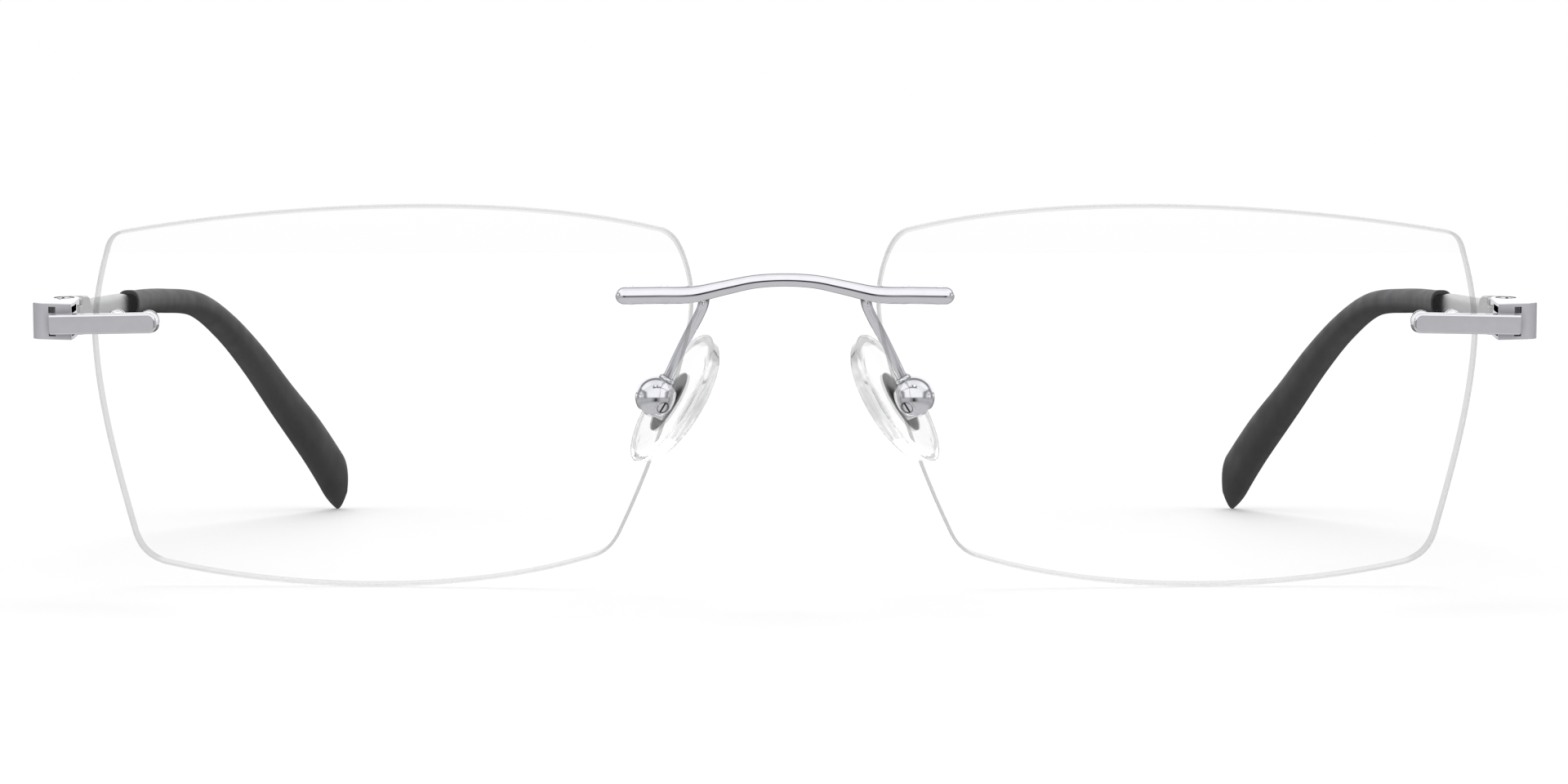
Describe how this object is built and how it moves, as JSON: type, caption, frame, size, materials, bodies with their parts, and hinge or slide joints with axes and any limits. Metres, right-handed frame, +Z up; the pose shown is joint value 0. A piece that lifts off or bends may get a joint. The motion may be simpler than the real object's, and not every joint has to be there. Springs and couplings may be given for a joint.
{
  "type": "rimless eyeglasses",
  "caption": "Rimless eyeglasses: clear drilled lenses joined by a wire bridge with adjustable nose pads, with slim metal temples that fold and end in black sleeves.",
  "frame": {"origin": "the middle of the glasses' foot print, on the table the open glasses stand on", "axes": "+X towards the wearer's left, -Y the way the wearer looks, +Z up; the temples run to +Y"},
  "size_m": [0.1422, 0.1342, 0.036],
  "materials": {
    "lens": "polished",
    "clear_plastic": "gloss",
    "polished_metal": "polished",
    "satin_metal": "satin",
    "tip": "satin",
    "silicone": "gloss"
  },
  "bodies": {
    "front": {"bridge": "polished_metal", "left_lens": "lens", "left_bridge_bushing": "clear_plastic", "left_endpiece": "polished_metal", "left_endpiece_bushing": "clear_plastic", "left_hinge_screw": "polished_metal", "left_pad_arm": "polished_metal", "left_pad_box": "polished_metal", "left_pad_screw": "polished_metal", "right_lens": "lens", "right_bridge_bushing": "clear_plastic", "right_endpiece": "polished_metal", "right_endpiece_bushing": "clear_plastic", "right_hinge_screw": "polished_metal", "right_pad_arm": "polished_metal", "right_pad_box": "polished_metal", "right_pad_screw": "polished_metal"},
    "left_temple": {"left_hinge_leaf": "satin_metal", "left_temple_arm": "satin_metal", "left_temple_tip": "tip"},
    "right_temple": {"right_hinge_leaf": "satin_metal", "right_temple_arm": "satin_metal", "right_temple_tip": "tip"},
    "left_pad": {"left_pad_core": "satin_metal", "left_nose_pad": "silicone"},
    "right_pad": {"right_pad_core": "satin_metal", "right_nose_pad": "silicone"}
  },
  "joints": [
    {"name": "left_temple_hinge", "type": "hinge", "parent": "front", "child": "left_temple", "pos_m": [0.0686, -0.05529, 0.0254], "axis": [0, 0, 1], "range_deg": [0, 82]},
    {"name": "right_temple_hinge", "type": "hinge", "parent": "front", "child": "right_temple", "pos_m": [-0.0686, -0.05529, 0.0254], "axis": [0, 0, -1], "range_deg": [0, 75]},
    {"name": "left_pad_rock", "type": "hinge", "parent": "front", "child": "left_pad", "pos_m": [0.01235, -0.05764, 0.0175], "axis": [-0.4414, -0.8093, -0.3876], "range_deg": [-12, 12]},
    {"name": "right_pad_rock", "type": "hinge", "parent": "front", "child": "right_pad", "pos_m": [-0.01235, -0.05764, 0.0175], "axis": [0.4414, -0.8093, -0.3876], "range_deg": [-12, 12]}
  ]
}
